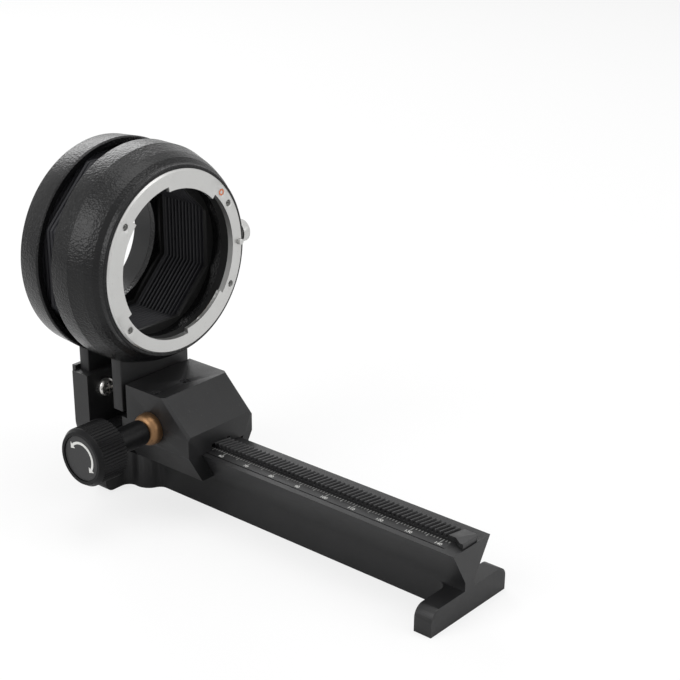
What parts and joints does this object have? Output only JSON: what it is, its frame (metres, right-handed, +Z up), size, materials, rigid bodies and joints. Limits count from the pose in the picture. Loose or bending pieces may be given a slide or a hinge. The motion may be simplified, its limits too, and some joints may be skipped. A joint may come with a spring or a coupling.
{
  "type": "macro bellows unit",
  "caption": "Black macro bellows unit with a bright bayonet lens mount, pleated bellows, dovetail rail with a toothed rack, knurled focusing knob and small lock knob.",
  "frame": {"origin": "centre of the tripod socket's mouth, in the plane that the feet stand on", "axes": "+X towards the lock knob and release button, +Y rearwards along the rail and optical axis towards the camera, +Z up"},
  "size_m": [0.0759, 0.1484, 0.1088],
  "materials": {
    "black_metal": "satin black powder coat",
    "dark_metal": "blackened metal",
    "bright_screws": "satin steel",
    "copper_screws": "copper-coloured screws",
    "chrome": "satin chrome",
    "brass": "satin brass",
    "spring_steel": "bare spring steel",
    "red_paint": "orange red enamel",
    "black_plastic": "matt black",
    "bellows_cloth": "shiny black coated cloth"
  },
  "bodies": {
    "rail_and_rear_standard": {"rail": "black_metal", "tripod_insert": "brass", "focusing_rack": "dark_metal", "scale_plate": "black_metal", "rear_bracket": "black_metal", "clamp_plate": "black_metal", "clamp_screws": "bright_screws", "leg_screws": "bright_screws", "rear_standard": "black_metal", "rear_grub_screw": "dark_metal", "camera_flange": "black_metal", "bayonet_barrel": "black_metal", "rear_bellows_frame": "black_plastic", "bellows": "bellows_cloth"},
    "sliding_carriage": {"carriage": "black_metal", "gib": "brass", "gib_screws": "copper_screws", "carriage_grub_screws": "dark_metal", "shaft_bush": "brass", "front_standard": "black_metal", "front_leg_screws": "bright_screws", "front_bellows_frame": "black_plastic", "lens_mount": "chrome", "mount_sleeve": "black_metal", "mount_screws": "chrome", "index_dot": "red_paint", "mount_leaf_springs": "brass", "button_collar": "chrome", "lock_spring": "spring_steel"},
    "focus_drive": {"pinion_shaft": "bright_screws", "pinion": "brass", "knob_neck": "black_plastic", "focusing_knob": "black_plastic", "knob_disc": "black_metal"},
    "lock_screw": {"lock_stud": "bright_screws", "lock_knob": "black_plastic"},
    "button": {"release_button": "chrome"},
    "lens_lock": {"lock_pin": "chrome", "lock_block": "dark_metal"}
  },
  "joints": [
    {"name": "carriage_slide", "type": "slide", "parent": "rail_and_rear_standard", "child": "sliding_carriage", "axis": [0, -1, 0], "range_m": [-0.003, 0.085], "deforming": ["bellows"]},
    {"name": "focus_turn", "type": "hinge", "parent": "sliding_carriage", "child": "focus_drive", "pos_m": [0, -0.0144, 0.02701], "axis": [1, 0, 0], "range_deg": [-36, 1000]},
    {"name": "lock_turn", "type": "hinge", "parent": "sliding_carriage", "child": "lock_screw", "pos_m": [0.00983, -0.017, 0.0148], "axis": [0.866, 0, -0.5], "range_deg": [0, 180]},
    {"name": "button_press", "type": "slide", "parent": "sliding_carriage", "child": "button", "axis": [-1, 0, 0], "range_m": [0, 0.0013], "stiffness_N_per_m": 200},
    {"name": "lens_lock_slide", "type": "slide", "parent": "sliding_carriage", "child": "lens_lock", "axis": [0, 1, 0], "range_m": [0, 0.0013], "deforming": ["lock_spring"]}
  ],
  "couplings": [
    {"joint": "focus_turn", "follows": "carriage_slide", "rad_per_m": 205.13},
    {"joint": "lens_lock_slide", "follows": "button_press", "ratio": 1}
  ]
}
